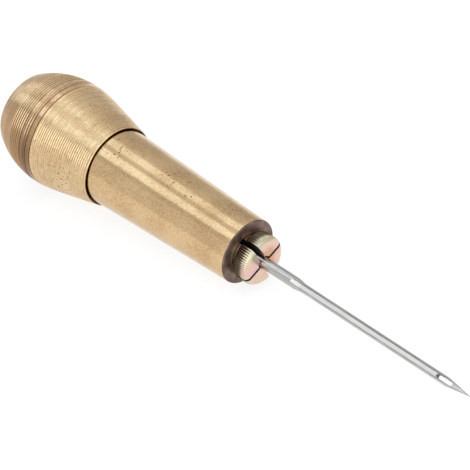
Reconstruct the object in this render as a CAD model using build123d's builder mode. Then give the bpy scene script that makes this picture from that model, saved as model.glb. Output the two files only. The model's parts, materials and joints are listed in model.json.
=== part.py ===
"""Scratch awl: a hollow turned handle, a four-jaw collet chuck and a grooved needle.

The tool lies along +X. X is measured from the flat butt of the end cap (X = 0) to the needle's
point, and every turned piece is round about the X axis. Lengths are in millimetres.
"""

import os
from math import cos, radians, sin, sqrt, tan

from build123d import *

os.makedirs("parts", exist_ok=True)

# ---------------------------------------------------------------- driving dimensions
# handle, outside
BULB_RADIUS = 13.5
BULB_WIDEST_X = 12.85
BUTT_RADIUS = 9.8
BUTT_EDGE = 0.6
CAP_LENGTH = 14.8
SLEEVE_LENGTH = 16.2
SLEEVE_SHOULDER_X = 5.3  # end of the swell, from the joint line
SLEEVE_SHOULDER_DROP = 1.0  # shoulder below the bulb's widest radius
SLEEVE_LIP_WALL = 0.3
JOINT_EDGE = 0.12  # broken edges that show the joint line
TUBE_LENGTH = 43.7  # sleeve lip to the tube's front face
TUBE_REAR_RADIUS = 9.6
TUBE_FRONT_RADIUS = 8.0
TUBE_EDGE = 0.3

# end cap, inside
CAP_END_WALL = 2.6
CAP_SEAT_LEDGE = 1.3  # behind the neck, down to the store's wall

# threaded neck of the end cap
BULB_WALL = 3.6  # bulb's widest radius to the thread
CAP_THREAD_DEPTH = 0.6
CAP_THREAD_PITCH = 1.25
CAP_THREAD_LENGTH = 6.5
CAP_SEAT_LENGTH = 5.0  # plain end, held in the cap
CAP_NECK_WALL = 2.0

# tube spigot in the sleeve, with the lip that stands clear of the tube
TUBE_STEP = 1.25  # tube's shoulder to its spigot
LIP_GAP = 0.25
LIP_DEPTH = 1.2

# bores of the tube
STORE_RADIUS = 6.0
FRONT_BLOCK_LENGTH = 24.7  # solid front that holds the chuck thread
DRILL_HALF_ANGLE = 59.0
MOUTH_STEP = 0.06  # taper's small end to the threaded bore
MOUTH_LENGTH = 6.0
MOUTH_HALF_ANGLE = 8.0

# collet chuck
CHUCK_THREAD_RADIUS = 3.92
CHUCK_THREAD_DEPTH = 0.35
CHUCK_THREAD_PITCH = 1.25
CHUCK_TAIL_LENGTH = 11.0
CHUCK_NECK_LENGTH = 3.5
CHUCK_NECK_RELIEF = 0.12  # neck below the thread's root
JAW_STEM_LENGTH = 2.2  # slots behind the taper
HEAD_STANDOFF = 1.2
HEAD_OVERHANG = 1.15  # head outside the tube's mouth
HEAD_SHOULDER = 1.2  # rim down to the front face
HEAD_LENGTH = 4.0
RIM_LENGTH = 2.6
RIM_EDGE = 0.2
NEEDLE_HOLE_CHAMFER = 0.35
WIDE_SLOT = 1.42
NARROW_SLOT = 0.75
SLOT_ROLL = 25.6  # direction of the narrow slot, from +Y towards +Z
JAW_COUNT = 4
KNURL_TEETH = 56
KNURL_DEPTH = 0.27

# needle
NEEDLE_REACH = 60.9  # chuck face to the point
SHANK_RADIUS = 1.375
SHANK_INSIDE = 24.9
SHANK_OUTSIDE = 10.2
SHANK_EDGE = 0.25
RUNOUT_LENGTH = 2.0
BLADE_RADIUS = 1.05
CHEEK_RADIUS = 1.02
POINT_LENGTH = 6.4
POINT_FLAT_RADIUS = 0.06
EYE_TO_POINT = 4.6
EYE_LENGTH = 4.5
EYE_WIDTH = 0.8
GROOVE_WIDTH = 1.0
GROOVE_DEPTH = 0.42
GROOVE_LEAD = 1.2  # starts behind the end of the shank
GROOVE_RAMP = 2.4
GROOVE_ROLL = 130.0  # direction that the groove faces, from +Y towards +Z

# clearances, radial unless a comment says otherwise
PRESS_CLEARANCE = 0.02
THREAD_CLEARANCE = 0.08  # thread crests to the plain bores that stand for female threads
RUNNING_CLEARANCE = 0.05
FLEX_GAP = 0.05  # along X, behind the jaws where they bend on the neck
THREAD_END_GAP = 0.5  # along X, in front of the cap's neck
SPIGOT_END_GAP = 0.2  # along X, behind the tube's spigot

# cuts and selections
CUTTER_OVERRUN = 0.015
PLANE_TOLERANCE = 0.01
QUARTER_ARC_MIDDLE = sin(radians(45))

# ---------------------------------------------------------------- stations along the axis
joint_x = CAP_LENGTH
lip_x = joint_x + SLEEVE_LENGTH
tube_front_x = lip_x + TUBE_LENGTH
tube_shoulder_x = lip_x - LIP_DEPTH
block_x = tube_front_x - FRONT_BLOCK_LENGTH
mouth_root_x = tube_front_x - MOUTH_LENGTH

cap_neck_rear_x = joint_x - CAP_SEAT_LENGTH
cap_neck_front_x = joint_x + CAP_THREAD_LENGTH
cap_thread_floor_x = cap_neck_front_x + THREAD_END_GAP
tube_rear_x = cap_thread_floor_x + SPIGOT_END_GAP

head_back_x = tube_front_x + HEAD_STANDOFF
rim_front_x = head_back_x + RIM_LENGTH
head_face_x = head_back_x + HEAD_LENGTH
slit_root_x = mouth_root_x - JAW_STEM_LENGTH
neck_rear_x = slit_root_x - CHUCK_NECK_LENGTH
tail_rear_x = neck_rear_x - CHUCK_TAIL_LENGTH

shank_rear_x = head_face_x - SHANK_INSIDE
shank_front_x = head_face_x + SHANK_OUTSIDE
blade_x = shank_front_x + RUNOUT_LENGTH
tip_x = head_face_x + NEEDLE_REACH
point_x = tip_x - POINT_LENGTH
eye_front_x = tip_x - EYE_TO_POINT
eye_rear_x = eye_front_x - EYE_LENGTH
groove_x = shank_front_x - GROOVE_LEAD

# ---------------------------------------------------------------- sizes that follow
# The dome is one arc whose widest place is BULB_WIDEST_X.
rise = BULB_RADIUS - BUTT_RADIUS
dome_arc = (BULB_WIDEST_X**2 + rise**2) / (2 * rise)
tube_slope = (TUBE_REAR_RADIUS - TUBE_FRONT_RADIUS) / TUBE_LENGTH
tube_shoulder_radius = TUBE_REAR_RADIUS + tube_slope * LIP_DEPTH
tube_spigot_radius = tube_shoulder_radius - TUBE_STEP
lip_bore = tube_shoulder_radius + LIP_GAP
lip_radius = lip_bore + SLEEVE_LIP_WALL
sleeve_shoulder_radius = BULB_RADIUS - SLEEVE_SHOULDER_DROP
cap_thread_radius = BULB_RADIUS - BULB_WALL
cap_thread_bore = cap_thread_radius + THREAD_CLEARANCE
cap_seat_bore = cap_thread_radius + RUNNING_CLEARANCE
cap_neck_bore = cap_thread_radius - CAP_NECK_WALL
cap_store_radius = cap_thread_radius - CAP_SEAT_LEDGE
chuck_thread_bore = CHUCK_THREAD_RADIUS + THREAD_CLEARANCE
chuck_neck_radius = CHUCK_THREAD_RADIUS - CHUCK_THREAD_DEPTH - CHUCK_NECK_RELIEF
mouth_slope = tan(radians(MOUTH_HALF_ANGLE))
mouth_root_radius = chuck_thread_bore + MOUTH_STEP
mouth_radius = mouth_root_radius + MOUTH_LENGTH * mouth_slope
head_radius = mouth_radius + HEAD_OVERHANG
head_face_radius = head_radius - HEAD_SHOULDER
needle_bore = SHANK_RADIUS + RUNNING_CLEARANCE
drill_point = (STORE_RADIUS - chuck_thread_bore) / tan(radians(DRILL_HALF_ANGLE))


def dome_radius(x):
    """Outer radius of the end cap at x."""
    return BULB_RADIUS - dome_arc + sqrt(dome_arc**2 - (BULB_WIDEST_X - x) ** 2)


def jaw_cone_radius(x):
    """Outer radius of the closed jaws at x, a running clearance inside the tube's mouth."""
    return mouth_radius + (x - tube_front_x) * mouth_slope - RUNNING_CLEARANCE


def thread_outline(start, end, crest, depth, pitch):
    """Outline points of annular thread ridges from start to end, whole turns only.

    Each crest and each root is flat for a quarter of the pitch.
    """
    flat = pitch / 8
    points = []
    for turn in range(int((end - start) / pitch)):
        middle = start + (turn + 0.5) * pitch
        points += [
            (middle - pitch / 2 + flat, crest - depth),
            (middle - flat, crest),
            (middle + flat, crest),
            (middle + pitch / 2 - flat, crest - depth),
        ]
    return points


def across(degrees):
    """Unit vector square to the tool's axis, from +Y (0 degrees) towards +Z (90 degrees)."""
    return (0, cos(radians(degrees)), sin(radians(degrees)))


def write(part, name):
    """Label a finished piece and write it as parts/NAME.step."""
    part.label = name
    export_step(part, f"parts/{name}.step")


# ---------------------------------------------------------------- end cap
cap_middle_x = joint_x / 2

with BuildPart() as end_cap:
    with BuildSketch(Plane.XZ):
        with BuildLine():
            butt = Polyline((CAP_END_WALL, 0), (0, 0), (0, BUTT_RADIUS))
            dome = ThreePointArc(
                butt @ 1, (cap_middle_x, dome_radius(cap_middle_x)), (joint_x, dome_radius(joint_x))
            )
            Polyline(
                dome @ 1,
                (joint_x, cap_seat_bore),
                (cap_neck_rear_x, cap_seat_bore),
                (cap_neck_rear_x, cap_store_radius),
                (CAP_END_WALL, cap_store_radius),
                butt @ 0,
            )
        make_face()
    revolve(axis=Axis.X)
    rims = end_cap.edges().filter_by(GeomType.CIRCLE)
    fillet(rims.filter_by_position(Axis.X, -PLANE_TOLERANCE, PLANE_TOLERANCE), BUTT_EDGE)
    chamfer(end_cap.faces().sort_by(Axis.X)[-1].outer_wire().edges(), JOINT_EDGE)
write(end_cap.part, "end_cap")

# ---------------------------------------------------------------- threaded neck of the end cap
with BuildPart() as cap_spigot:
    with BuildSketch(Plane.XZ):
        with BuildLine():
            Polyline(
                (cap_neck_front_x, cap_neck_bore),
                (cap_neck_rear_x, cap_neck_bore),
                (cap_neck_rear_x, cap_thread_radius),
                (joint_x, cap_thread_radius),
                (joint_x, cap_thread_radius - CAP_THREAD_DEPTH),
                *thread_outline(
                    joint_x, cap_neck_front_x, cap_thread_radius, CAP_THREAD_DEPTH, CAP_THREAD_PITCH
                ),
                (cap_neck_front_x, cap_thread_radius - CAP_THREAD_DEPTH),
                close=True,
            )
        make_face()
    revolve(axis=Axis.X)
write(cap_spigot.part, "cap_spigot")

# ---------------------------------------------------------------- bulb sleeve
with BuildPart() as bulb_sleeve:
    with BuildSketch(Plane.XZ):
        with BuildLine():
            cone = Line((lip_x, lip_radius), (joint_x + SLEEVE_SHOULDER_X, sleeve_shoulder_radius))
            swell = TangentArc(cone @ 1, (joint_x, dome_radius(joint_x)), tangent=cone % 1)
            Polyline(
                swell @ 1,
                (joint_x, cap_thread_bore),
                (cap_thread_floor_x, cap_thread_bore),
                (cap_thread_floor_x, tube_spigot_radius + PRESS_CLEARANCE),
                (tube_shoulder_x, tube_spigot_radius + PRESS_CLEARANCE),
                (tube_shoulder_x, lip_bore),
                (lip_x, lip_bore),
                cone @ 0,
            )
        make_face()
    revolve(axis=Axis.X)
    chamfer(bulb_sleeve.faces().sort_by(Axis.X)[0].outer_wire().edges(), JOINT_EDGE)
write(bulb_sleeve.part, "bulb_sleeve")

# ---------------------------------------------------------------- front tube
with BuildPart() as front_tube:
    with BuildSketch(Plane.XZ):
        with BuildLine():
            Polyline(
                (tube_rear_x, STORE_RADIUS),
                (tube_rear_x, tube_spigot_radius),
                (tube_shoulder_x, tube_spigot_radius),
                (tube_shoulder_x, tube_shoulder_radius),
                (tube_front_x, TUBE_FRONT_RADIUS),
                (tube_front_x, mouth_radius),
                (mouth_root_x, mouth_root_radius),
                (mouth_root_x, chuck_thread_bore),
                (block_x + drill_point, chuck_thread_bore),
                (block_x, STORE_RADIUS),
                close=True,
            )
        make_face()
    revolve(axis=Axis.X)
    fillet(front_tube.faces().sort_by(Axis.X)[-1].outer_wire().edges(), TUBE_EDGE)
write(front_tube.part, "front_tube")

# ---------------------------------------------------------------- chuck: threaded tail and neck
with BuildPart() as chuck_tail:
    with BuildSketch(Plane.XZ):
        with BuildLine():
            Polyline(
                (neck_rear_x, needle_bore),
                (tail_rear_x, needle_bore),
                (tail_rear_x, CHUCK_THREAD_RADIUS - CHUCK_THREAD_DEPTH),
                *thread_outline(
                    tail_rear_x,
                    neck_rear_x,
                    CHUCK_THREAD_RADIUS,
                    CHUCK_THREAD_DEPTH,
                    CHUCK_THREAD_PITCH,
                ),
                (neck_rear_x, CHUCK_THREAD_RADIUS - CHUCK_THREAD_DEPTH),
                close=True,
            )
        make_face()
    revolve(axis=Axis.X)
write(chuck_tail.part, "chuck_tail")

with BuildPart() as chuck_neck:
    with BuildSketch(Plane.YZ.offset(neck_rear_x)):
        Circle(chuck_neck_radius)
        Circle(needle_bore, mode=Mode.SUBTRACT)
    extrude(amount=CHUCK_NECK_LENGTH)
write(chuck_neck.part, "chuck_neck")

# ---------------------------------------------------------------- chuck: the four jaws
def make_jaw(number):
    """One finger of the collet, between its two slots, with its quarter of the knurled head."""
    roll = SLOT_ROLL + 360 / JAW_COUNT * number
    slots = (WIDE_SLOT, NARROW_SLOT) if number % 2 == 0 else (NARROW_SLOT, WIDE_SLOT)
    shoulder_side = HEAD_SHOULDER * QUARTER_ARC_MIDDLE
    shoulder_rise = (head_face_x - rim_front_x) * QUARTER_ARC_MIDDLE
    with BuildPart() as jaw:
        with BuildSketch(Plane.XZ):
            with BuildLine():
                outer = Polyline(
                    (slit_root_x + FLEX_GAP, needle_bore),
                    (slit_root_x + FLEX_GAP, chuck_neck_radius),
                    (mouth_root_x, chuck_neck_radius),
                    (mouth_root_x, jaw_cone_radius(mouth_root_x)),
                    (head_back_x, jaw_cone_radius(head_back_x)),
                    (head_back_x, head_radius - RIM_EDGE),
                    (head_back_x + RIM_EDGE, head_radius),
                    (rim_front_x, head_radius),
                )
                shoulder = ThreePointArc(
                    outer @ 1,
                    (rim_front_x + shoulder_rise, head_face_radius + shoulder_side),
                    (head_face_x, head_face_radius),
                )
                Polyline(
                    shoulder @ 1,
                    (head_face_x, needle_bore + NEEDLE_HOLE_CHAMFER),
                    (head_face_x - NEEDLE_HOLE_CHAMFER, needle_bore),
                    outer @ 0,
                )
            make_face()
        revolve(axis=Axis.X)
        with BuildSketch(Plane.YZ.offset(head_back_x)):
            with PolarLocations(head_radius, KNURL_TEETH, start_angle=roll):
                RegularPolygon(KNURL_DEPTH, 4)
        extrude(amount=HEAD_LENGTH, mode=Mode.SUBTRACT)
        quarter = Plane(origin=(slit_root_x, 0, 0), x_dir=across(roll), z_dir=(1, 0, 0))
        with BuildSketch(quarter):
            with Locations((slots[0] / 2, slots[1] / 2)):
                Rectangle(head_radius, head_radius, align=(Align.MIN, Align.MIN))
        extrude(amount=head_face_x - slit_root_x, mode=Mode.INTERSECT)
    return jaw.part


for jaw_number in range(JAW_COUNT):
    write(make_jaw(jaw_number), f"jaw_{jaw_number + 1}")

# ---------------------------------------------------------------- needle
groove_face = across(GROOVE_ROLL)
groove_side = across(GROOVE_ROLL + 90)
groove_floor = BLADE_RADIUS - GROOVE_DEPTH
eye_middle_x = (eye_rear_x + eye_front_x) / 2

with BuildPart() as needle:
    with BuildSketch(Plane.XZ):
        with BuildLine():
            Polyline(
                (shank_rear_x, 0),
                (shank_rear_x, SHANK_RADIUS - SHANK_EDGE),
                (shank_rear_x + SHANK_EDGE, SHANK_RADIUS),
                (shank_front_x, SHANK_RADIUS),
                (blade_x, BLADE_RADIUS),
                (eye_rear_x, CHEEK_RADIUS),
                (point_x, CHEEK_RADIUS),
                (tip_x, POINT_FLAT_RADIUS),
                (tip_x, 0),
                close=True,
            )
        make_face()
    revolve(axis=Axis.X)
    with BuildSketch(Plane(origin=(0, 0, 0), x_dir=(1, 0, 0), z_dir=groove_side)):
        with BuildLine():
            Polyline(
                (groove_x, SHANK_RADIUS + CUTTER_OVERRUN),
                (groove_x + GROOVE_RAMP, groove_floor),
                (eye_middle_x, groove_floor),
                (eye_middle_x, SHANK_RADIUS + CUTTER_OVERRUN),
                close=True,
            )
        make_face()
    extrude(amount=GROOVE_WIDTH / 2, both=True, mode=Mode.SUBTRACT)
    with BuildSketch(Plane(origin=(0, 0, 0), x_dir=(1, 0, 0), z_dir=groove_face)):
        with Locations((eye_middle_x, 0)):
            SlotOverall(EYE_LENGTH, EYE_WIDTH)
    extrude(amount=SHANK_RADIUS, both=True, mode=Mode.SUBTRACT)
write(needle.part, "needle")
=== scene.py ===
"""Scratch awl: the visible surfaces of a turned brass handle, a zinc-plated collet chuck and a needle.

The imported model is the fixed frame. The tool lies along +X, with the butt of its end cap at the origin.
Sizes in this file are in millimetres, and each mesh is turned into metres as its last step.
"""

from __future__ import annotations

import json
import logging
import math
import random
from dataclasses import dataclass, field
from enum import Enum
from typing import Callable, Sequence

import bmesh
import bpy
from bmesh.types import BMEdge, BMesh
from bpy.types import Material, NodeSocket, Object, World
from mathutils import Matrix, Vector

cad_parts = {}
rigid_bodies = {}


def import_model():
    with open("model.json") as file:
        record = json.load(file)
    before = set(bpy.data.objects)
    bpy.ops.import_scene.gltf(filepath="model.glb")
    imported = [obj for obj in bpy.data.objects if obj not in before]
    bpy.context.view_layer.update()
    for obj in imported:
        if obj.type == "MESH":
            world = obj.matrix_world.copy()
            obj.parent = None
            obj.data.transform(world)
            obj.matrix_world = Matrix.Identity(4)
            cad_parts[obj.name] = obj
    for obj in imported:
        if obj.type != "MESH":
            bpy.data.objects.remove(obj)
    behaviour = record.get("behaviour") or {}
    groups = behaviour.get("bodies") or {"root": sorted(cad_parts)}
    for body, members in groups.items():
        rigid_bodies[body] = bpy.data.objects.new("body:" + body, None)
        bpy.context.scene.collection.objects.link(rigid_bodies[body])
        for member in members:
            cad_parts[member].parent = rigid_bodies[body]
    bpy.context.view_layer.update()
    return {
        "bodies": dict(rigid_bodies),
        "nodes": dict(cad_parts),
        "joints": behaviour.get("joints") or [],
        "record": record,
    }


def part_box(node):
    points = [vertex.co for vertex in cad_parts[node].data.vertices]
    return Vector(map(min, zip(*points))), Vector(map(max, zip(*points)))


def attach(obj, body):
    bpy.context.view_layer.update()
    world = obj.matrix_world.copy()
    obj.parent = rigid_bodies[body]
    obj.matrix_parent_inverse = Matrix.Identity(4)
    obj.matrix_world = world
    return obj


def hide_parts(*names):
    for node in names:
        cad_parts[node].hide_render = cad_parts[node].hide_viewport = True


LOG = logging.getLogger("scratch_awl")
METRES = 0.001
AXIS = Vector((1.0, 0.0, 0.0))
WELD = 1e-5  # points that are closer than this, in millimetres, become one
VALLEY = "valley"  # point attribute: 0 on the crest of a tool mark, 1 at the bottom of an ordinary one
SMOOTH = {"interpolation_type": "SMOOTHSTEP"}
RGBA = {"data_type": "RGBA"}

Outline = list[tuple[float, float]]  # (x, radius from the axis) points, in millimetres


class Slot(Enum):
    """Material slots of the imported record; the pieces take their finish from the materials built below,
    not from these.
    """

    TUBE = "tube_brass"
    BULB = "bulb_brass"
    CHUCK = "chuck_zinc"
    NEEDLE = "needle_steel"


# ---- shared helpers
def linear(hex_code: str) -> tuple[float, float, float, float]:
    """Turn an sRGB hex value into a linear colour.

    Args:
        hex_code: six hex digits, such as "C8A070".

    Returns:
        Linear red, green and blue, and an alpha of 1.
    """
    channels = [int(hex_code[i : i + 2], 16) / 255 for i in (0, 2, 4)]
    bent = [c / 12.92 if c <= 0.04045 else ((c + 0.055) / 1.055) ** 2.4 for c in channels]
    return (bent[0], bent[1], bent[2], 1.0)


def across(degrees: float) -> Vector:
    """Unit vector square to the tool's axis, from +Y (0 degrees) towards +Z (90 degrees)."""
    angle = math.radians(degrees)
    return Vector((0.0, math.cos(angle), math.sin(angle)))


def arc(start: tuple[float, float], end: tuple[float, float], radius: float, count: int) -> Outline:
    """Points on a circular arc that bulges away from the axis.

    Args:
        start: first point, as (x, radius from the axis).
        end: last point.
        radius: radius of the arc.
        count: number of points, both ends included.

    Returns:
        The points in order.
    """
    a, b = Vector(start), Vector(end)
    middle, half = (a + b) / 2, (b - a) / 2
    normal = Vector((-half.y, half.x)).normalized()
    if normal.y < 0:
        normal = -normal
    centre = middle - normal * math.sqrt(max(radius**2 - half.length_squared, 0.0))
    first = math.atan2(a.y - centre.y, a.x - centre.x)
    last = math.atan2(b.y - centre.y, b.x - centre.x)
    steps = [first + (last - first) * i / (count - 1) for i in range(count)]
    return [(centre.x + radius * math.cos(s), centre.y + radius * math.sin(s)) for s in steps]


def scale_for(size_mm: float) -> float:
    """Scale of a texture whose largest features are about size_mm across."""
    return 1 / (size_mm * METRES)


def from_axis(place: Vector) -> float:
    """Distance of a point from the tool's axis."""
    return math.hypot(place.y, place.z)


def spin_outline(outline: Outline, steps: int, closed: bool) -> BMesh:
    """Spin an outline a full turn about the tool's axis.

    Args:
        outline: the points to spin.
        steps: faces in a full turn.
        closed: True if the last point joins back to the first.

    Returns:
        A bmesh with merged seams and poles and outward normals.
    """
    mesh = bmesh.new()
    verts = [mesh.verts.new((x, r, 0.0)) for x, r in outline]
    pairs = list(zip(verts, verts[1:]))
    if closed:
        pairs.append((verts[-1], verts[0]))
    edges = [mesh.edges.new(pair) for pair in pairs]
    bmesh.ops.spin(
        mesh, geom=verts + edges, cent=(0, 0, 0), axis=AXIS, angle=math.tau, steps=steps, use_merge=True
    )
    bmesh.ops.remove_doubles(mesh, verts=mesh.verts, dist=WELD)
    bmesh.ops.dissolve_degenerate(mesh, edges=mesh.edges, dist=1e-6)
    bmesh.ops.recalc_face_normals(mesh, faces=mesh.faces)
    return mesh


def round_ring(mesh: BMesh, x: float, radius: float, width: float) -> None:
    """Round one ring-shaped corner of a turned mesh.

    Args:
        mesh: the turned mesh, in millimetres.
        x: place of the corner along the tool.
        radius: its radius.
        width: size of the bevel.
    """
    corner = {vert for vert in mesh.verts if math.hypot(vert.co.x - x, from_axis(vert.co) - radius) < 1e-3}
    edges = [edge for edge in mesh.edges if corner.issuperset(edge.verts)]
    bmesh.ops.bevel(mesh, geom=edges, offset=width, affect="EDGES", segments=3, profile=0.5, material=-1)


def add_object(name: str, data: bpy.types.ID) -> Object:
    """Make an object from its data and link it to the scene."""
    made = bpy.data.objects.new(name, data)
    bpy.context.scene.collection.objects.link(made)
    return made


def finish_mesh(mesh: BMesh, name: str, sharp_degrees: float, materials: Sequence[Material]) -> Object:
    """Turn a bmesh in millimetres into a smooth-shaded object at the origin, in metres.

    Args:
        mesh: the bmesh, which is freed.
        name: name of the new object.
        sharp_degrees: edges with a larger angle between their faces stay sharp.
        materials: its materials, in the order of its faces' material numbers.

    Returns:
        The new object, linked to the scene.
    """
    bmesh.ops.scale(mesh, vec=(METRES, METRES, METRES), verts=mesh.verts)
    data = bpy.data.meshes.new(name)
    mesh.to_mesh(data)
    mesh.free()
    data.polygons.foreach_set("use_smooth", [True] * len(data.polygons))
    data.set_sharp_from_angle(angle=math.radians(sharp_degrees))
    piece = add_object(name, data)
    dress(piece, materials)
    return piece


def dress(piece: Object, materials: Sequence[Material]) -> None:
    """Put materials on a piece, in the order of its faces' material numbers."""
    if piece.data.materials:  # clearing an empty list would reset the numbers
        piece.data.materials.clear()
    for material in materials:
        piece.data.materials.append(material)


class Nodes:
    """A node tree, with one short way to add a node."""

    def __init__(self, owner: Material | World) -> None:
        """Give a material or a world an empty tree."""
        owner.use_nodes = True
        self.owner = owner
        self.tree = owner.node_tree
        self.tree.nodes.clear()

    def add(
        self, kind: str, settings: dict | str = "", *first: object, out: int | str = 0, **named: object
    ) -> NodeSocket | None:
        """Add a node with its settings, values and links.

        Args:
            kind: node type without its "ShaderNode", such as "Mix".
            settings: properties of the node, or only its operation; "stops" holds a ramp's positions and
                colours, which are hex or linear.
            *first: what goes into the node's first sockets; a value is set and an output is linked.
            out: the output to return, by name or number.
            **named: the same for other sockets, by name or by "_number".

        Returns:
            The chosen output, or None if the node has none.
        """
        node = self.tree.nodes.new(f"ShaderNode{kind}")
        if isinstance(settings, str):
            settings = {"operation": settings} if settings else {}
        stops = settings.get("stops", ())
        for key, value in settings.items():
            if key != "stops":
                setattr(node, key, value)
        while stops and len(node.color_ramp.elements) < len(stops):
            node.color_ramp.elements.new(0.5)
        for number, (position, colour) in enumerate(stops):
            element = node.color_ramp.elements[number]
            element.position = position
            element.color = linear(colour) if isinstance(colour, str) else colour
        places: dict[int | str, object] = dict(enumerate(first))
        for key, value in named.items():
            places[int(key[1:]) if key.startswith("_") else key.replace("_", " ")] = value
        for place, value in places.items():
            if isinstance(value, NodeSocket):
                self.tree.links.new(value, node.inputs[place])
            else:
                node.inputs[place].default_value = value
        return node.outputs[out] if node.outputs else None

    def close(self, surface: NodeSocket, kind: str = "OutputMaterial") -> bpy.types.ID:
        """Link the shader to an output node and return the owner of the tree."""
        self.add(kind, Surface=surface)
        return self.owner


# ---- finishes
@dataclass(frozen=True)
class Patch:
    """A place on the handle where handling or casting has left its mark."""

    x: float  # along the tool, in millimetres
    roll: float  # about it, in degrees from +Y towards +Z
    radius: float  # from the tool's axis
    reach: float  # size of the patch


@dataclass(frozen=True)
class TurnedBrass:
    """Free-cutting brass as it comes off a lathe: pale yellow metal with soft, broad reflections.

    Handling has left a thin uneven tarnish that darkens the metal by a few percent, stains and small
    dark pits. The valleys of its tool marks are darkened brown by grime and painted shade, and the side
    away from the light can take a browner painted shade.
    """

    name: str
    bright: str = "E0C297"
    plain: str = "D2B286"
    brown: str = "BE9B72"
    stain: str = "9C8258"
    # dark brown of the pits' grime, and of the valleys' grime and painted shade
    pit_dirt_and_valley_shade: str = "4A3726"
    underside_shade_colour: str = ""  # browner painted shade on the side away from the light
    underside_shade_fade: tuple[float, float] = (0.011, 0.002)  # heights, in metres, between which that colour comes in
    roughness: float = 0.17
    worn_roughness: float = 1.4  # how many times rougher the tarnished metal is
    cloud_mm: float = 8.0  # size of the tarnish clouds
    skin_mm: float = 0.5  # fine unevenness, drawn about twice as coarse as it is, so that it shows
    skin_depth_mm: float = 0.006
    skin_share: float = 1.6  # weight of the skin beside the clouds
    tones: tuple[float, float] = (0.85, 1.75)  # sums of the two that give the bright and the brown metal
    rough_tones: tuple[float, float] = (0.9, 1.7)
    turning_mm: float = 0.3  # fine rings left by the last cut, drawn coarse as well
    turning_depth_mm: float = 0.002
    turning_draw: float = 0.04  # the rings are this much shorter across than around
    stain_mm: float = 3.2
    stain_amount: float = 0.0
    stain_edge: tuple[float, float] = (0.58, 0.70)
    # strength of the valleys' grime and painted shade
    valley_dirt_and_shade: float = 0.0
    valley_span: tuple[float, float] = (0.1, 2.2)  # valley values between which the grime and painted shade come in
    pit_spacing_mm: float = 0.62
    pit_share: float = 0.36
    pit_chance: float = 0.15  # share of the places that stay without a pit
    pit_edge: float = 0.07
    pit_depth_mm: float = 0.06
    pit_patches: tuple[Patch, ...] = ()

    def pits(self, n: Nodes, place: NodeSocket) -> NodeSocket:
        """Value that is 1 in each pit and 0 between them.

        Args:
            n: the material's node tree.
            place: position on the piece.

        Returns:
            The socket with the value.
        """
        distance = n.add("TexVoronoi", Vector=place, Scale=scale_for(self.pit_spacing_mm))
        chance = n.add("SeparateColor", "", distance.node.outputs["Color"])
        reach = n.add("MapRange", SMOOTH, chance, self.pit_chance, 1.0, 0.0, self.pit_share)
        inside = n.add("Math", "SUBTRACT", reach, distance)
        pit = n.add("MapRange", SMOOTH, inside, 0.0, self.pit_edge, 0.0, 1.0)
        where: float | NodeSocket = 0.0
        for patch in self.pit_patches:
            centre = (AXIS * patch.x + across(patch.roll) * patch.radius) * METRES
            away = n.add("VectorMath", "DISTANCE", place, centre, out="Value")
            near, far = patch.reach / 2 * METRES, patch.reach * METRES
            share = n.add("MapRange", SMOOTH, away, near, far, 1.0, 0.0)
            where = n.add("Math", "MAXIMUM", where, share)
        return n.add("Math", "MULTIPLY", pit, where)

    def material(self) -> Material:
        """Build the node material."""
        n = Nodes(bpy.data.materials.new(self.name))
        place = n.add("TexCoord", out="Object")
        clouds = n.add("TexNoise", Vector=place, Scale=scale_for(self.cloud_mm), Detail=4.0, Roughness=0.6)
        skin = n.add("TexNoise", Vector=place, Scale=scale_for(self.skin_mm), Detail=3.0, Roughness=0.75)
        tone = n.add("Math", "MULTIPLY_ADD", skin, self.skin_share, clouds)
        shade = n.add("MapRange", SMOOTH, tone, *self.tones, 0.0, 1.0)
        stops = [(0.0, self.bright), (0.5, self.plain), (1.0, self.brown)]
        colour = n.add("ValToRGB", {"stops": stops}, shade)

        blots = n.add("TexNoise", Vector=place, Scale=scale_for(self.stain_mm), Detail=3.0, Roughness=0.6)
        stained = n.add("MapRange", SMOOTH, blots, *self.stain_edge, 0.0, self.stain_amount)
        colour = n.add("Mix", RGBA, stained, _6=colour, _7=linear(self.stain), out=2)
        # Painted shade: the lower side of the piece turns browner.
        if self.underside_shade_colour:
            height = n.add("SeparateXYZ", "", place, out="Z")
            underside_shade_fade = n.add("MapRange", SMOOTH, height, *self.underside_shade_fade, 0.0, 1.0)
            colour = n.add("Mix", RGBA, underside_shade_fade, _6=colour, _7=linear(self.underside_shade_colour), out=2)
        pits = self.pits(n, place)
        # Pits darken as grime; the valleys of the tool marks as grime and painted shade.
        valley = n.add("Attribute", {"attribute_name": VALLEY}, out="Fac")
        valley_dirt_and_shade_mask = n.add("MapRange", SMOOTH, valley, *self.valley_span, 0.0, self.valley_dirt_and_shade)
        pit_dirt_and_valley_shade = n.add("Math", "MAXIMUM", pits, valley_dirt_and_shade_mask)
        colour = n.add("Mix", RGBA, pit_dirt_and_valley_shade, _6=colour, _7=linear(self.pit_dirt_and_valley_shade), out=2)

        rings = n.add("Mapping", Vector=place, Scale=(1.0, self.turning_draw, self.turning_draw))
        scale = scale_for(self.turning_mm)
        turning = n.add("TexNoise", Vector=rings, Scale=scale, Detail=2.0, Roughness=0.7)
        bump = n.add("Bump", Strength=1.0, Distance=self.turning_depth_mm * METRES, Height=turning)
        bump = n.add("Bump", Strength=1.0, Distance=self.skin_depth_mm * METRES, Height=skin, Normal=bump)
        bump = n.add("Bump", Strength=1.0, Distance=-self.pit_depth_mm * METRES, Height=pits, Normal=bump)
        rough = self.roughness, self.roughness * self.worn_roughness
        shader = n.add(
            "BsdfPrincipled",
            Base_Color=colour,
            Metallic=1.0,
            Roughness=n.add("MapRange", SMOOTH, tone, *self.rough_tones, *rough),
            Normal=bump,
        )
        return n.close(shader)


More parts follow.
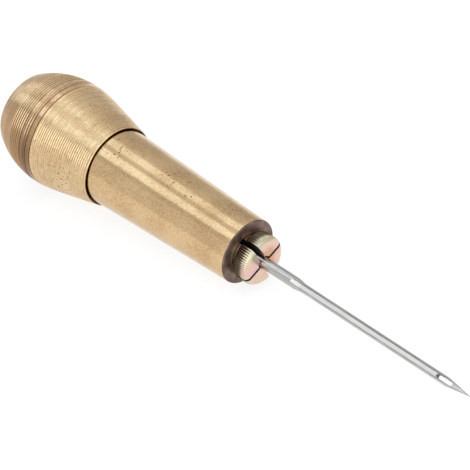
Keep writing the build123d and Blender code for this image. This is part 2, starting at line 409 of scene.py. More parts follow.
@dataclass(frozen=True)
class DarkMetal:
    """Brass faced with a blunt tool and gone dark, its darkness partly painted shade: a brown-grey ring with
    faint rings of its own. It also paints shade in the tube's mouth and on the collet's slot walls.
    """

    name: str
    light: str = "8E7A6E"
    dark: str = "63524A"
    ring_mm: float = 0.5  # spacing of the rings that the tool left
    ring_depth_mm: float = 0.012
    ring_share: float = 0.07  # weight of the rings beside the clouds
    cloud_mm: float = 2.0
    roughness: float = 0.42

    def material(self) -> Material:
        """Build the node material, with rings about the tool's axis."""
        n = Nodes(bpy.data.materials.new(self.name))
        place = n.add("TexCoord", out="Object")
        flat = n.add("Mapping", Vector=place, Scale=(0.0, 1.0, 1.0))
        radius = n.add("VectorMath", "LENGTH", flat, out="Value")
        turns = n.add("Math", "MULTIPLY", radius, math.tau / (self.ring_mm * METRES))
        wave = n.add("Math", "SINE", turns)
        cloud = n.add("TexNoise", Vector=place, Scale=scale_for(self.cloud_mm), Detail=4.0, Roughness=0.65)
        tone = n.add("Math", "MULTIPLY_ADD", wave, self.ring_share, cloud)
        shader = n.add(
            "BsdfPrincipled",
            Base_Color=n.add("ValToRGB", {"stops": [(0.34, self.dark), (0.66, self.light)]}, tone),
            Metallic=1.0,
            Roughness=self.roughness,
            Normal=n.add("Bump", Strength=1.0, Distance=self.ring_depth_mm * METRES, Height=wave),
        )
        return n.close(shader)


@dataclass(frozen=True)
class YellowZinc:
    """Yellow-passivated zinc plate on steel: a thin film that shifts between pink, straw and pale green."""

    name: str
    film: tuple[tuple[float, str], ...] = (
        (0.0, "D2A684"),
        (0.25, "E2B8AC"),
        (0.45, "E6BFBC"),
        (0.62, "E3C8AB"),
        (0.80, "D9CDAD"),
        (1.0, "CDCBB6"),
    )
    # dark brown of oily grime and painted shade in the knurl
    oil_and_shade: str = "4A3A28"
    oil_and_shade_amount: float = 0.95
    oil_and_shade_span: tuple[float, float] = (0.1, 0.9)  # valley values between which the oily grime and painted shade come in
    cloud_mm: float = 4.0
    middle_mm: float = 1.5  # the film changes from this radius of the face to its rim
    radius_mm: float = 6.0
    rim_shift: tuple[float, float] = (-0.10, 0.14)
    film_span: tuple[float, float] = (0.25, 0.85)
    grain_mm: float = 0.3
    grain_depth_mm: float = 0.003
    roughness: float = 0.22

    def material(self) -> Material:
        """Build the node material, darkened between the teeth of the knurl and towards the tube by oily
        grime and painted shade.
        """
        n = Nodes(bpy.data.materials.new(self.name))
        place = n.add("TexCoord", out="Object")
        clouds = n.add("TexNoise", Vector=place, Scale=scale_for(self.cloud_mm), Detail=3.0, Roughness=0.5)
        flat = n.add("Mapping", Vector=place, Scale=(0.0, 1.0, 1.0))
        out = n.add("VectorMath", "LENGTH", flat, out="Value")
        ends = self.middle_mm * METRES, self.radius_mm * METRES
        rim = n.add("MapRange", SMOOTH, out, *ends, *self.rim_shift)
        film = n.add("Math", "ADD", clouds, rim)
        spread = n.add("MapRange", SMOOTH, film, *self.film_span, 0.0, 1.0)
        plate = n.add("ValToRGB", {"stops": self.film}, spread)
        valley = n.add("Attribute", {"attribute_name": VALLEY}, out="Fac")
        # Oily grime and painted shade darken the knurl.
        oil_and_shade_mix = n.add("MapRange", SMOOTH, valley, *self.oil_and_shade_span, 0.0, self.oil_and_shade_amount)
        grain = n.add("TexNoise", Vector=place, Scale=scale_for(self.grain_mm), Detail=3.0, Roughness=0.6)
        shader = n.add(
            "BsdfPrincipled",
            Base_Color=n.add("Mix", RGBA, oil_and_shade_mix, _6=plate, _7=linear(self.oil_and_shade), out=2),
            Metallic=1.0,
            Roughness=self.roughness,
            Normal=n.add("Bump", Strength=1.0, Distance=self.grain_depth_mm * METRES, Height=grain),
        )
        return n.close(shader)


@dataclass(frozen=True)
class GroundSteel:
    """Hardened steel, ground lengthwise: grey metal with fine marks along the needle."""

    name: str
    light: str = "C2C0BD"
    dark: str = "9B9996"
    mark_mm: float = 0.22  # width of a grinding mark
    mark_depth_mm: float = 0.004
    mark_draw: float = 0.06  # a mark's width against its length
    roughness: float = 0.20

    def material(self) -> Material:
        """Build the node material, with marks drawn out along the tool's axis."""
        n = Nodes(bpy.data.materials.new(self.name))
        place = n.add("TexCoord", out="Object")
        drawn = n.add("Mapping", Vector=place, Scale=(self.mark_draw, 1.0, 1.0))
        marks = n.add("TexNoise", Vector=drawn, Scale=scale_for(self.mark_mm), Detail=4.0, Roughness=0.7)
        shader = n.add(
            "BsdfPrincipled",
            Base_Color=n.add("ValToRGB", {"stops": [(0.3, self.dark), (0.6, self.light)]}, marks),
            Metallic=1.0,
            Roughness=self.roughness,
            Normal=n.add("Bump", Strength=1.0, Distance=self.mark_depth_mm * METRES, Height=marks),
        )
        return n.close(shader)


# ---- turned handle
@dataclass(frozen=True)
class ToolMarks:
    """Rings that a round-nosed tool leaves as it feeds along a turned piece."""

    feed_mm: float  # from one ring to the next
    depth_mm: float
    spread: float = 0.15  # how much one ring's depth differs from the next
    points: int = 6  # outline points in each ring
    seed: int = 1

    def cut(self, surface: Callable[[float], float], start: float, end: float) -> Outline:
        """Outline of a surface with the rings cut into it.

        Args:
            surface: outer radius at x, in millimetres.
            start: x of the first ring.
            end: x where the last ring ends.

        Returns:
            Outline points from start to end, none of them outside the surface.
        """
        rng = random.Random(self.seed)
        count = max(1, round(abs(end - start) / self.feed_mm))
        feed = (end - start) / count
        outline: Outline = []
        for ring in range(count):
            depth = self.depth_mm * rng.uniform(1 - self.spread, 1 + self.spread)
            for point in range(self.points):
                share = point / self.points
                x = start + (ring + share) * feed
                outline.append((x, surface(x) - depth * (1 - (2 * share - 1) ** 2)))
        return outline + [(end, surface(end))]


def record_valleys(mesh: BMesh, surface: Callable[[float], float], depth_mm: float) -> None:
    """Write how far each vertex lies below a turned surface to the valley attribute.

    Args:
        mesh: the spun piece, in millimetres.
        surface: outer radius at x.
        depth_mm: depth of an ordinary mark.
    """
    deepest, another_surface = 2.0, 6.0  # in ordinary marks
    layer = mesh.verts.layers.float.new(VALLEY)
    for vert in mesh.verts:
        below = (surface(vert.co.x) - from_axis(vert.co)) / depth_mm
        if below < another_surface:
            vert[layer] = min(max(below, 0.0), deepest)


@dataclass
class EndCap:
    """The dome that closes the handle, with its threaded neck inside."""

    bulb_radius: float = 13.5
    widest_x: float = 12.85
    butt_radius: float = 9.8
    butt_rings: tuple[float, ...] = (3.0, 6.0)  # radii of the rings of faces on the flat butt
    butt_edge: float = 0.6
    edge_rise: float = 0.03  # x of the butt's rounded edge at its start
    edge_end: float = 0.5  # and where it has become the dome
    edge_arc: float = 0.8
    marks_start: float = 0.75
    end_wall: float = 2.6
    store_radius: float = 8.6
    seat_radius: float = 9.95
    seat_length: float = 5.0
    joint_edge: float = 0.16
    joint_depth: float = 0.3
    coarse_x: float = 6.9  # from fine tool marks to coarse ones
    land: float = 1.3  # plain band beside the joint
    band: float = 4.0  # browner metal beside the joint, with stronger painted shade on its lower side
    steps: int = 160
    fine_marks: ToolMarks = ToolMarks(feed_mm=0.55, depth_mm=0.075, spread=0.25, seed=4)
    coarse_marks: ToolMarks = ToolMarks(feed_mm=0.74, depth_mm=0.15, spread=0.45, seed=5)

    def surface(self, x: float) -> float:
        """Outer radius of the dome at x."""
        rise = self.bulb_radius - self.butt_radius
        arc_radius = (self.widest_x**2 + rise**2) / (2 * rise)
        return self.bulb_radius - arc_radius + math.sqrt(arc_radius**2 - (self.widest_x - x) ** 2)

    def build(self, brass: Material, band: Material, butt: Material) -> Object:
        """Model the dome as a hollow turned shell.

        Args:
            brass: the material of the shell.
            band: the browner material beside the joint, with stronger painted shade on its lower side.
            butt: the darker material round the edge of the butt.

        Returns:
            The finished piece.
        """
        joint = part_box("end_cap")[1].x / METRES
        edge_start = (self.edge_rise, self.butt_radius - self.butt_edge * 0.7)
        edge_end = (self.edge_end, self.surface(self.edge_end))
        rings = (0.0, *self.butt_rings, self.butt_radius - self.butt_edge)
        outline: Outline = [(0.0, radius) for radius in rings]
        outline += arc(edge_start, edge_end, self.edge_arc, 5)
        outline += self.fine_marks.cut(self.surface, self.marks_start, self.coarse_x)[:-1]
        outline += self.coarse_marks.cut(self.surface, self.coarse_x, joint - self.land)
        outline += [
            (joint - self.joint_edge, self.surface(joint)),
            (joint, self.surface(joint) - self.joint_depth),
            (joint, self.seat_radius),
            (joint - self.seat_length, self.seat_radius),
            (joint - self.seat_length, self.store_radius),
            (self.end_wall, self.store_radius),
            (self.end_wall, 0.0),
        ]
        mesh = spin_outline(outline, self.steps, closed=False)
        record_valleys(mesh, self.surface, self.coarse_marks.depth_mm)
        for face in mesh.faces:
            middle = face.calc_center_median()
            radius = from_axis(middle)
            # The band takes the material with stronger painted shade on its lower side.
            if radius > self.seat_radius + 1 and joint - self.band < middle.x < joint - 0.01:
                face.material_index = 1
            if radius > self.butt_radius - self.butt_edge and middle.x < self.butt_edge * 0.6:
                face.material_index = 2
        piece = finish_mesh(mesh, "end_cap_dome", 38, [brass, band, butt])
        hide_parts("end_cap")
        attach(piece, "cap")
        return piece


@dataclass
class BulbSleeve:
    """The collar that swells from its thin front lip to the joint with the end cap."""

    cap: EndCap
    shoulder_from_joint: float = 5.3
    shoulder_radius: float = 12.5
    lip_radius: float = 10.194
    lip_gap: float = 0.25
    lip_depth: float = 1.2
    lip_plain: float = 0.35  # from the last tool mark to the lip's end
    lip_chamfer: tuple[float, float] = (0.06, 0.05)  # along and inwards
    lip_inner_chamfer: float = 0.04
    thread_bore: float = 9.98
    thread_depth: float = 7.0
    spigot_bore: float = 8.414
    tube_shoulder_radius: float = 9.644
    land: float = 0.7
    valley_dirt_and_shade_depth: float = 1.4  # a valley takes all the grime and painted shade if it is this many times as deep as a mark
    steps: int = 160
    marks: ToolMarks = ToolMarks(feed_mm=0.56, depth_mm=0.07, spread=0.25, seed=9)

    def build(self, brass: Material) -> Object:
        """Model the collar as a hollow turned shell.

        Args:
            brass: the material of the whole shell.

        Returns:
            The finished piece.
        """
        low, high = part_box("bulb_sleeve")
        joint, lip = low.x / METRES, high.x / METRES
        shoulder = joint + self.shoulder_from_joint
        slope = (self.lip_radius - self.shoulder_radius) / (lip - shoulder)
        start_radius = self.cap.surface(joint)
        # The swell runs from the joint to the shoulder and meets the cone without a corner.
        drop = start_radius - self.shoulder_radius
        bend = (drop + slope * self.shoulder_from_joint) / self.shoulder_from_joint**2

        def surface(x: float) -> float:
            """Outer radius of the collar at x."""
            back = shoulder - x
            return self.shoulder_radius - slope * back + bend * max(back, 0.0) ** 2

        step = self.tube_shoulder_radius + self.lip_gap
        outline: Outline = [
            (joint, self.thread_bore),
            (joint, start_radius - self.cap.joint_depth),
            (joint + self.cap.joint_edge, surface(joint + self.cap.joint_edge)),
        ]
        outline += self.marks.cut(surface, joint + self.land, lip - self.lip_plain)
        along, inwards = self.lip_chamfer
        outline += [
            (lip - along, surface(lip - along)),
            (lip, surface(lip) - inwards),
            (lip, step + self.lip_inner_chamfer),
            (lip - self.lip_inner_chamfer, step),
            (lip - self.lip_depth, step),
            (lip - self.lip_depth, self.spigot_bore),
            (joint + self.thread_depth, self.spigot_bore),
            (joint + self.thread_depth, self.thread_bore),
        ]
        mesh = spin_outline(outline, self.steps, closed=True)
        record_valleys(mesh, surface, self.marks.depth_mm * self.valley_dirt_and_shade_depth)
        piece = finish_mesh(mesh, "bulb_collar", 38, [brass])
        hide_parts("bulb_sleeve")
        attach(piece, "handle")
        return piece


@dataclass
class FrontTube:
    """The long conical tube, with its dark end face of darkened brass and painted shade, the mouth taper in
    painted shade and the needle store.
    """

    rear_radius: float = 9.6
    front_radius: float = 8.0
    lip_x: float = 31.0
    spigot_radius: float = 8.394
    lip_depth: float = 1.2
    store_radius: float = 6.0
    block_length: float = 24.7
    drill_point: float = 1.2
    thread_bore: float = 4.0
    mouth_radius: float = 4.903
    mouth_root_radius: float = 4.06
    mouth_length: float = 6.0
    mouth_chamfer: float = 0.12
    edge: float = 0.3
    rows: int = 24  # rings of faces along the cone
    steps: int = 144

    def build(self, brass: Material, dark_brass_and_shade: Material) -> Object:
        """Model the tube as a hollow turned shell.

        Args:
            brass: the material of its outside and bores.
            dark_brass_and_shade: the dark material of its front face and mouth: darkened brass on the face,
                painted shade on both.

        Returns:
            The finished piece.
        """
        low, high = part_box("front_tube")
        rear, front = low.x / METRES, high.x / METRES
        slope = (self.rear_radius - self.front_radius) / (front - self.lip_x)
        shoulder = self.lip_x - self.lip_depth
        cone = [shoulder + (front - shoulder) * i / self.rows for i in range(self.rows)]
        outline = [
            (rear, self.store_radius),
            (rear, self.spigot_radius),
            (shoulder, self.spigot_radius),
            *[(x, self.front_radius + slope * (front - x)) for x in cone],
            (front, self.front_radius),
            (front, self.mouth_radius + self.mouth_chamfer),
            (front - self.mouth_chamfer, self.mouth_radius),
            (front - self.mouth_length, self.mouth_root_radius),
            (front - self.mouth_length, self.thread_bore),
            (front - self.block_length + self.drill_point, self.thread_bore),
            (front - self.block_length, self.store_radius),
        ]
        mesh = spin_outline(outline, self.steps, closed=True)
        round_ring(mesh, front, self.front_radius, self.edge)
        for face in mesh.faces:
            middle = face.calc_center_median()
            inside = from_axis(middle) < self.mouth_radius
            # The front face takes darkened brass with painted shade; the mouth takes painted shade.
            if middle.x > front - self.edge or (inside and middle.x > front - self.mouth_length):
                face.material_index = 1
        piece = finish_mesh(mesh, "handle_tube", 40, [brass, dark_brass_and_shade])
        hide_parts("front_tube")
        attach(piece, "handle")
        return piece


# ---- collet chuck
@dataclass
class ColletJaws:
    """The four jaws: a knurled head with a rounded shoulder, parted by a wide and a narrow slot."""

    head_radius: float = 6.053
    face_radius: float = 4.853
    head_length: float = 4.0
    rear_edge: tuple[tuple[float, float], ...] = ((0.0, 0.3), (0.1, 0.07), (0.25, 0.0))  # along, inwards
    rim_length: float = 2.6
    neck_radius: float = 3.45
    cone_root: float = 4.01
    cone_head: float = 5.022
    cone_length: float = 7.2
    needle_bore: float = 1.425
    hole_chamfer: float = 0.35
    wide_slot: float = 1.42
    narrow_slot: float = 0.75
    slot_edge: float = 0.09
    slot_roll: float = 25.6
    teeth: int = 64
    tooth_depth: float = 0.25
    flank_power: float = 1.5  # 1 makes straight flanks; above 1, the crests are rounded
    oil_and_shade_fade: float = 1.0  # the knurl is clear only near the shoulder; its oily grime and painted shade come in over this length
    oil_and_shade_shares: tuple[float, float] = (0.6, 0.8)  # valley values of the oily grime and painted shade between the teeth, and by the tube
    steps_per_tooth: int = 4
    bodies: tuple[str, ...] = ("jaw_one", "jaw_two", "jaw_three", "jaw_four")

    def outline(self, rear: float, face: float) -> Outline:
        """Outline of the whole collet head from its root to its face.

        Args:
            rear: x of the slots' root.
            face: x of the head's front face.

        Returns:
            Closed outline points.
        """
        back = face - self.head_length
        rim = back + self.rim_length
        side = self.head_radius - self.face_radius
        rise = face - rim
        turns = [math.radians(90 * i / 7) for i in range(8)]
        shoulder = [(rim + rise * math.sin(t), self.face_radius + side * math.cos(t)) for t in turns]
        return [
            (rear, self.needle_bore),
            (rear, self.neck_radius),
            (back - self.cone_length, self.neck_radius),
            (back - self.cone_length, self.cone_root),
            (back, self.cone_head),
            *[(back + along, self.head_radius - inwards) for along, inwards in self.rear_edge],
            *[(back + self.rim_length * i / 4, self.head_radius) for i in range(1, 4)],
            *shoulder,
            (face, self.needle_bore + self.hole_chamfer),
            (face - self.hole_chamfer, self.needle_bore),
        ]

    def knurl(self, mesh: BMesh, face: float) -> None:
        """Press straight teeth into the rim.

        Args:
            mesh: the spun head.
            face: x of the head's front face.
        """
        back = face - self.head_length
        root = self.head_radius - self.tooth_depth
        layer = mesh.verts.layers.float.new(VALLEY)
        for vert in mesh.verts:
            radius = from_axis(vert.co)
            if vert.co.x < back - 1e-3 or radius < root:
                continue
            turn = math.atan2(vert.co.z, vert.co.y) / math.tau * self.teeth
            from_crest = abs((turn + 0.5) % 1.0 - 0.5) * 2
            limit = self.head_radius - self.tooth_depth * from_crest**self.flank_power
            to_shoulder = min(max((back + self.rim_length - vert.co.x) / self.oil_and_shade_fade, 0.0), 1.0)
            # Oily grime and painted shade: darker between the teeth and towards the tube.
            oil_and_shade = from_crest * self.oil_and_shade_shares[0] + to_shoulder * self.oil_and_shade_shares[1]
            vert[layer] = min(oil_and_shade, 1.0) * (radius > root + 0.02)
            if radius > limit:
                scale = limit / radius
                vert.co.y *= scale
                vert.co.z *= scale

    def part_off(self, mesh: BMesh, roll: float, first: float, second: float) -> None:
        """Keep one quarter of the head, with closed slot walls.

        Args:
            mesh: the whole head.
            roll: direction of the quarter's first side, in degrees.
            first: half slot along that side.
            second: half slot along the next side.
        """
        for direction, gap in ((across(roll), first), (across(roll + 90), second)):
            cut = bmesh.ops.bisect_plane(
                mesh,
                geom=[*mesh.verts, *mesh.edges, *mesh.faces],
                dist=1e-6,
                plane_co=direction * gap,
                plane_no=direction,
                clear_inner=True,
            )
            rim = [e for e in cut["geom_cut"] if isinstance(e, BMEdge)]
            bmesh.ops.triangle_fill(mesh, edges=rim, use_beauty=True, normal=-direction)
            # The slot walls take material 1, which paints shade on them.
            for face in mesh.faces:
                if all(abs(vert.co.dot(direction) - gap) < 1e-4 for vert in face.verts):
                    face.material_index = 1
        bmesh.ops.remove_doubles(mesh, verts=mesh.verts, dist=WELD)
        bmesh.ops.recalc_face_normals(mesh, faces=mesh.faces)

    def break_edges(self, mesh: BMesh, face: float) -> None:
        """Round the sharp edges of the slots where they cross the face and the shoulder.

        Args:
            mesh: one jaw.
            face: x of the head's front face.
        """
        front = face - self.head_length + self.rim_length - 0.01
        sharp = [
            edge
            for edge in mesh.edges
            if all(vert.co.x > front for vert in edge.verts) and edge.calc_face_angle(0.0) > math.radians(60)
        ]
        how = {"affect": "EDGES", "offset_type": "OFFSET", "clamp_overlap": True}
        bmesh.ops.bevel(mesh, geom=sharp, offset=self.slot_edge, segments=2, profile=0.5, material=-1, **how)

    def build(self, zinc: Material, slot: Material) -> list[Object]:
        """Model the four jaws.

        Args:
            zinc: their plated finish.
            slot: the dark material of the slots' walls, as painted shade.

        Returns:
            The four pieces.
        """
        pieces = []
        for number, body in enumerate(self.bodies):
            node = f"jaw_{number + 1}"
            low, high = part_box(node)
            rear, face = low.x / METRES, high.x / METRES
            mesh = spin_outline(self.outline(rear, face), self.teeth * self.steps_per_tooth, closed=True)
            self.knurl(mesh, face)
            halves = (self.wide_slot / 2, self.narrow_slot / 2)
            first, second = halves if number % 2 == 0 else halves[::-1]
            self.part_off(mesh, self.slot_roll + 90 * number, first, second)
            self.break_edges(mesh, face)
            piece = finish_mesh(mesh, f"chuck_{node}", 35, [zinc, slot])
            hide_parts(node)
            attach(piece, body)
            pieces.append(piece)
        return pieces


# ---- needle
@dataclass
class Needle:
    """The needle: a round shank, a thinner blade with a groove along it, an eye and a spear point."""

    shank_radius: float = 1.375
    shank_edge: float = 0.25
    shank_length: float = 35.1
    runout: float = 2.0
    blade_radius: float = 1.05
    cheek_radius: float = 1.02
    point_length: float = 6.4
    point_radius: float = 0.06
    eye_to_point: float = 4.6
    eye_length: float = 4.5
    eye_width: float = 0.8
    groove_half: float = 0.56  # half width of the groove at its rim
    floor_half: float = 0.45  # half width of its floor
    groove_depth: float = 0.42
    groove_lead: float = 1.2
    groove_ramp: float = 2.4
    groove_roll: float = 130.0
    eye_end_half: float = 0.12  # half width of the eye's blunt ends
    # Towards the point the rim, the floor and the eye's column are no wider than these shares of the radius.
    rim_limit: float = 0.75
    floor_limit: float = 0.7
    eye_limit: float = 0.6
    columns: int = 18  # of vertices, from the groove to the back on each side

    def __post_init__(self) -> None:
        """Place the needle's features along the tool, between the ends of its box."""
        low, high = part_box("needle")
        self.rear = low.x / METRES
        self.tip = high.x / METRES
        self.shank_front = self.rear + self.shank_length
        self.blade = self.shank_front + self.runout
        self.point = self.tip - self.point_length
        self.groove = self.shank_front - self.groove_lead
        self.eye_front = self.tip - self.eye_to_point
        self.eye_rear = self.eye_front - self.eye_length
        self.groove_end = (self.eye_front + self.eye_rear) / 2

    def radius(self, x: float) -> float:
        """Outer radius of the needle at x."""
        steps = (
            (self.rear, self.shank_radius - self.shank_edge),
            (self.rear + self.shank_edge, self.shank_radius),
            (self.shank_front, self.shank_radius),
            (self.blade, self.blade_radius),
            (self.eye_rear, self.cheek_radius),
            (self.point, self.cheek_radius),
            (self.tip, self.point_radius),
        )
        for (x0, r0), (x1, r1) in zip(steps, steps[1:]):
            if x <= x1:
                return r0 + (r1 - r0) * (x - x0) / (x1 - x0)
        return self.point_radius

    def floor(self, x: float) -> float:
        """Height of the groove's floor above the axis at x; the outer radius where there is none."""
        full = self.blade_radius - self.groove_depth
        if not self.groove < x <= self.groove_end:
            return self.shank_radius
        share = min((x - self.groove) / self.groove_ramp, 1.0)
        return self.shank_radius + (full - self.shank_radius) * share

    def eye_half(self, x: float) -> float:
        """Half width of the eye at x, or of the column of faces beside its ends."""
        end = self.eye_width / 2
        from_end = min(x - self.eye_rear, self.eye_front - x)
        if from_end < -1e-6:
            return end * 0.75
        return max(math.sqrt(max(end**2 - max(end - from_end, 0.0) ** 2, 0.0)), self.eye_end_half)

    def stations(self) -> list[float]:
        """Places along the needle where its section is set out."""
        end = self.eye_width / 2
        eye_ends = [end * (1 - math.cos(math.radians(90 * i / 6))) for i in range(7)]
        places = [
            *[self.rear, self.rear + self.shank_edge, self.groove, self.shank_front, self.blade],
            *[self.groove + self.groove_ramp * i / 4 for i in range(1, 5)],
            *[self.eye_rear + along for along in eye_ends],
            *[self.eye_front - along for along in eye_ends],
            *[self.eye_rear - end / 2, self.eye_front + end / 2],
            *[self.groove_end, self.groove_end + 0.02, self.point, self.tip],
            *[self.blade + (self.eye_rear - self.blade) * i / 12 for i in range(1, 12)],
        ]
        return sorted(set(places))

    def section(self, x: float) -> list[tuple[float, float]]:
        """Half section at x, from the middle of the groove round to the middle of the back.

        Args:
            x: station along the needle.

        Returns:
            One (half width, height) pair for each column of vertices.
        """
        outer = self.radius(x)
        eye = min(self.eye_half(x), outer * self.eye_limit)
        rim = min(self.groove_half, outer * self.rim_limit)
        bottom = min(self.floor_half, outer * self.floor_limit)
        floor = self.floor(x)
        points = [(width, min(floor, math.sqrt(outer**2 - width**2))) for width in (0.0, eye, bottom)]
        first = math.asin(rim / outer)
        last = math.pi - math.asin(eye / outer)
        rounds = self.columns - 4
        turns = [first + (last - first) * i / rounds for i in range(rounds + 1)]
        points += [(outer * math.sin(turn), outer * math.cos(turn)) for turn in turns]
        return [*points, (0.0, -outer)]

    def mill_groove(self, mesh: BMesh) -> None:
        """Move the vertices of the round needle to its sections, and number the groove's materials.

        Args:
            mesh: the spun needle.
        """
        up = across(self.groove_roll)
        side = across(self.groove_roll + 90)
        step = math.pi / self.columns
        for vert in mesh.verts:
            if from_axis(vert.co) < WELD:
                continue
            turn = math.atan2(vert.co.z, vert.co.y)
            column = round(turn / step) % (2 * self.columns)
            sign = 1 if column <= self.columns else -1
            width, height = self.section(vert.co.x)[min(column, 2 * self.columns - column)]
            vert.co = Vector((vert.co.x, 0.0, 0.0)) + side * width * sign + up * height
        for face in mesh.faces:
            middle = face.calc_center_median()
            if not self.groove < middle.x < self.groove_end or middle.dot(up) < 0:
                continue
            width = abs(middle.dot(side))
            # The groove's floor takes the painted highlight, its edges the painted shade.
            if width < self.floor_half:
                face.material_index = 1
            elif width < self.groove_half:
                face.material_index = 2

    def pierce_eye(self, mesh: BMesh) -> None:
        """Open the eye through the needle and close its walls.

        Args:
            mesh: the needle with its groove.
        """
        side = across(self.groove_roll + 90)
        inside = [
            face
            for face in mesh.faces
            if self.eye_rear < face.calc_center_median().x < self.eye_front
            and all(abs(vert.co.dot(side)) < self.eye_width / 2 + 1e-4 for vert in face.verts)
        ]
        bmesh.ops.delete(mesh, geom=inside, context="FACES")
        rims = [edge for edge in mesh.edges if edge.is_boundary]
        # The eye's walls take the painted shade.
        for face in bmesh.ops.bridge_loops(mesh, edges=rims)["faces"]:
            face.material_index = 2

    def build(self, outside: Material, floor: Material, wall: Material) -> Object:
        """Model the needle as a spun blank, then its groove and its eye.

        Args:
            outside: steel of the round surfaces.
            floor: lighter steel of the groove's floor, a painted highlight.
            wall: darker steel of the groove's and the eye's sides, a painted shade.

        Returns:
            The finished piece.
        """
        outline = [(x, self.radius(x)) for x in self.stations()]
        outline = [(self.rear, 0.0), *outline, (self.tip, 0.0)]
        mesh = spin_outline(outline, 2 * self.columns, closed=False)
        self.mill_groove(mesh)
        self.pierce_eye(mesh)
        bmesh.ops.remove_doubles(mesh, verts=mesh.verts, dist=1e-4)
        bmesh.ops.recalc_face_normals(mesh, faces=mesh.faces)
        piece = finish_mesh(mesh, "grooved_needle", 30, [outside, floor, wall])
        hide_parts("needle")
        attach(piece, "needle")
        return piece


# ---- studio
@dataclass
class Softbox:
    """A square-cornered area light that points at the middle of the tool."""

    name: str
    direction: tuple[float, float, float]  # from the tool towards the light
    distance: float  # metres
    width: float  # metres, along the tool
    height: float
    power: float
    tint: tuple[float, float, float] = (0.80, 1.0, 1.18)  # cool, so that the brass isn't too warm

    def build(self, target: Vector) -> None:
        """Make the light and aim it.

        Args:
            target: the point that it faces.
        """
        data = bpy.data.lights.new(self.name, "AREA")
        data.shape = "RECTANGLE"
        data.size = self.width
        data.size_y = self.height
        data.energy = self.power
        data.color = self.tint
        light = add_object(self.name, data)
        out = Vector(self.direction).normalized()
        sideways = (AXIS - out * AXIS.dot(out)).normalized()
        frame = Matrix((sideways, out.cross(sideways), out)).transposed()
        light.matrix_world = Matrix.Translation(target + out * self.distance) @ frame.to_4x4()


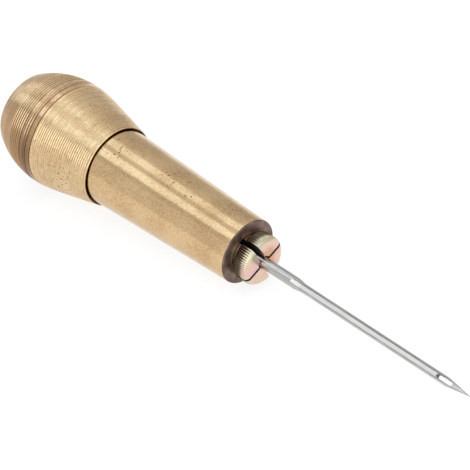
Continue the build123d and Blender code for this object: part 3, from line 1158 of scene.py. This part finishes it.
@dataclass
class Studio:
    """A pale floor that the tool lies on, soft light and the camera."""

    bulb_radius: float = 13.5
    bulb_x: float = 12.8
    nose_radius: float = 8.0
    nose_x: float = 74.7
    lens: float = 183.8
    sensor: float = 36.0
    # The camera's place, in millimetres from the middle of the tube's front face.
    right_shift: float = -2.94
    up_shift: float = 3.84
    roll: float = -0.2
    distance: float = 538.6
    azimuth: float = 45.8
    elevation: float = 39.5
    # The room by angle about the tool's axis, from +Y (0 degrees) towards +Z: its brightness, and how
    # much that grows towards the needle's end.
    room: tuple[tuple[float, float, float], ...] = (
        (-180.0, 0.87, 0.80),
        (-20.0, 0.80, 0.20),
        (15.0, 0.62, 0.20),
        (45.0, 0.70, 0.20),
        (64.0, 0.80, 0.30),
        (99.0, 0.82, 0.60),
        (131.0, 0.68, 0.90),
        (137.0, 0.70, 0.90),
        (145.0, 0.84, 0.90),
        (180.0, 0.87, 0.80),
    )
    room_middle: float = 0.53
    room_limits: tuple[float, float] = (0.5, 1.6)
    floor_half: float = 3000.0
    floor_gap: float = 0.02
    floor_tone: str = "7C7C7C"
    glow: tuple[float, float] = (0.84, 0.55)  # the floor's own light under the tool and far from it
    glow_reach: tuple[float, float] = (0.25, 1.0)  # metres
    lights: list[Softbox] = field(default_factory=list)

    def floor(self) -> None:
        """Lay the floor under the bulb and the tube's front rim, which the tool rests on."""
        tilt = math.asin((self.bulb_radius - self.nose_radius) / (self.nose_x - self.bulb_x))
        up = Vector((-math.sin(tilt), 0.0, math.cos(tilt)))
        mesh = bmesh.new()
        bmesh.ops.create_grid(mesh, x_segments=1, y_segments=1, size=self.floor_half)
        n = Nodes(bpy.data.materials.new("pale_floor"))
        paper = n.add("BsdfDiffuse", Color=linear(self.floor_tone))
        place = n.add("TexCoord", out="Object")
        away = n.add("VectorMath", "LENGTH", place, out="Value")
        fade = n.add("MapRange", SMOOTH, away, *self.glow_reach, *self.glow)
        glow = n.add("Emission", Color=linear("FFFFFF"), Strength=fade)
        floor = finish_mesh(mesh, "floor", 30, [n.close(n.add("AddShader", "", paper, glow))])
        under = Vector((self.bulb_x, 0, 0)) * METRES - up * (self.bulb_radius + self.floor_gap) * METRES
        floor.matrix_world = Matrix.Translation(under) @ Matrix.Rotation(-tilt, 4, "Y")

    def sky(self) -> None:
        """Surroundings whose light changes with the angle about the tool's axis and along it."""
        world = bpy.data.worlds.new("surroundings")
        n = Nodes(world)
        x = n.add("SeparateXYZ", "", n.add("TexCoord", out="Generated"))
        y, z = x.node.outputs["Y"], x.node.outputs["Z"]
        turn = n.add("Math", "ARCTAN2", z, y)
        share = n.add("Math", "MULTIPLY_ADD", turn, 1 / math.tau, 0.5)
        stops = [(degrees / 360 + 0.5, (light, slope, 0.0, 1.0)) for degrees, light, slope in self.room]
        light = n.add("SeparateColor", "", n.add("ValToRGB", {"stops": stops}, share))
        slope = light.node.outputs["Green"]
        along = n.add("Math", "ADD", x, self.room_middle)
        change = n.add("Math", "MULTIPLY_ADD", along, slope, 1.0)
        limited = n.add("Clamp", "", change, *self.room_limits)
        strength = n.add("Math", "MULTIPLY", limited, light)
        n.close(n.add("Background", Color=linear("FFFFFF"), Strength=strength), "OutputWorld")
        bpy.context.scene.world = world

    def camera(self) -> None:
        """Place the camera above the needle's side, looking down at the tube's front."""
        turn, lift = math.radians(self.azimuth), math.radians(self.elevation)
        back = Vector((math.sin(turn) * math.cos(lift), -math.cos(turn) * math.cos(lift), math.sin(lift)))
        right = Vector((math.cos(turn), math.sin(turn), 0.0))
        up = back.cross(right)
        nose = Vector((self.nose_x, 0.0, 0.0))
        place = nose + right * self.right_shift + up * self.up_shift + back * self.distance
        data = bpy.data.cameras.new("camera")
        data.lens = self.lens
        data.sensor_width = self.sensor
        data.clip_start, data.clip_end = 0.01, 20.0
        camera = add_object("camera", data)
        frame = Matrix((right, up, back)).transposed() @ Matrix.Rotation(math.radians(self.roll), 3, "Z")
        camera.matrix_world = Matrix.Translation(place * METRES) @ frame.to_4x4()
        bpy.context.scene.camera = camera

    def build(self) -> None:
        """Make the floor, the sky, the lights and the camera."""
        self.floor()
        self.sky()
        for softbox in self.lights:
            softbox.build(Vector((self.nose_x * 0.6, 0.0, 0.0)) * METRES)
        self.camera()
        bpy.context.scene.view_settings.view_transform = "Standard"


def main() -> None:
    """Build the awl's pieces in order, then the studio, and report each piece."""
    logging.basicConfig(level=logging.INFO, format="%(name)s: %(message)s")
    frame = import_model()

    pit_patches = (
        Patch(34.0, 122.0, 9.5, 3.6),
        Patch(35.0, 100.0, 9.5, 4.0),
        Patch(52.0, 92.0, 8.8, 4.5),
        Patch(57.0, 104.0, 8.7, 3.0),
        Patch(67.0, 74.0, 8.3, 4.5),
    )
    # Finer skin, and tool-mark valleys darkened by grime and painted shade.
    worn_and_valley_shaded = {"skin_depth_mm": 0.003, "valley_dirt_and_shade": 1.0}
    handle_brass = TurnedBrass("turned_brass_tube", roughness=0.13, pit_patches=pit_patches).material()
    bulb_brass = TurnedBrass(
        "grooved_brass_bulb",
        bright="E8CCA1",
        plain="DCBD90",
        brown="C8A67D",
        roughness=0.21,
        turning_depth_mm=0.0005,
        stain_amount=0.35,
        pit_patches=(Patch(24.0, 190.0, 12.0, 6.0),),
        **worn_and_valley_shaded,
    ).material()
    # Brass band beside the joint, with a strong painted shade on its lower side.
    band_brass_shaded_below = TurnedBrass(
        "brass_band_shaded_below",
        bright="EAC99F",
        plain="D9B58D",
        brown="C19C76",
        underside_shade_colour="8C6C4F",
        roughness=0.13,
        **worn_and_valley_shaded,
    ).material()
    dome_brass = TurnedBrass(
        "turned_brass_dome",
        bright="EACDA5",
        plain="DDBC92",
        brown="C8A57D",
        # painted shade on the dome's lower side
        underside_shade_colour="B8946D",
        roughness=0.13,
        turning_depth_mm=0.0015,
        stain_amount=0.3,
        **worn_and_valley_shaded,
    ).material()
    # Dark brass of the faced ends, also used as painted shade in the tube's mouth and on the slot walls.
    dark_brass_and_shade = DarkMetal("dark_brass_and_painted_shade").material()
    zinc = YellowZinc("yellow_passivated_zinc").material()
    # The groove's floor is a painted highlight, its walls and the eye's walls a painted shade.
    needle_steels = (
        GroundSteel("ground_needle_steel").material(),
        GroundSteel("groove_floor_painted_highlight", light="E4E0DA", dark="CCC8C2", roughness=0.35).material(),
        GroundSteel("groove_wall_painted_shade", light="77757A", dark="4F4D50", roughness=0.40).material(),
    )

    cap = EndCap()
    pieces = [cap.build(dome_brass, band_brass_shaded_below, dark_brass_and_shade), BulbSleeve(cap).build(bulb_brass)]
    pieces.append(FrontTube().build(handle_brass, dark_brass_and_shade))
    pieces += ColletJaws().build(zinc, dark_brass_and_shade)
    pieces.append(Needle().build(*needle_steels))
    for node, material in (("chuck_neck", zinc), ("chuck_tail", zinc), ("cap_spigot", bulb_brass)):
        dress(frame["nodes"][node], [material])
        pieces.append(frame["nodes"][node])
    for piece in pieces:
        LOG.info("%s: %d faces", piece.name, len(piece.data.polygons))

    lights = [
        Softbox("front_strip", (-0.53, -0.385, 0.756), distance=0.9, width=1.6, height=0.3, power=1.16),
        Softbox("rear_strip", (-0.53, 0.133, 0.838), distance=0.9, width=1.6, height=0.3, power=0.86),
        Softbox("camera_side_box", (0.3, -0.86, 0.4), distance=1.0, width=0.8, height=0.6, power=1.0),
    ]
    Studio(lights=lights).build()


if __name__ == "__main__":
    main()
